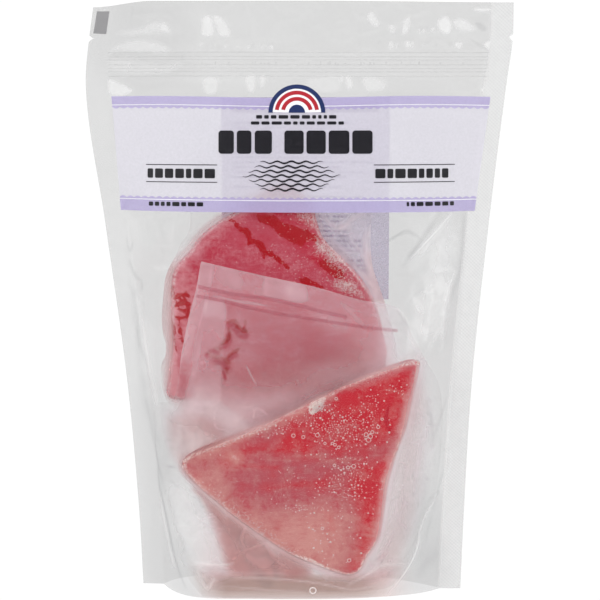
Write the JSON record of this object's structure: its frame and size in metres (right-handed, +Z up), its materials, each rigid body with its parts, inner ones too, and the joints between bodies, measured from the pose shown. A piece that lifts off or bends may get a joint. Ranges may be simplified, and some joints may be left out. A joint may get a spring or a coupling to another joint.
{
  "type": "stand-up pouch of raw tuna steaks",
  "caption": "Clear stand-up pouch with a press-to-close zip, upright on its opened base, with frozen raw tuna steaks sealed inside.",
  "frame": {"origin": "middle of the flat base the pouch stands on", "axes": "+Z up to the header, +X to the right seen from the printed front, -Y out of the printed front"},
  "size_m": [0.2193, 0.0656, 0.3045],
  "materials": {
    "film": "clear glossy laminated film, slightly hazy, embossed at the side seals",
    "print": "reverse-printed lavender and white ink under gloss film",
    "steak": "frozen raw tuna, deep red to pink with pale grain, under a thin ice glaze",
    "frost": "white ice crystals"
  },
  "bodies": {
    "root": {"pouch": "film"}
  },
  "joints": []
}
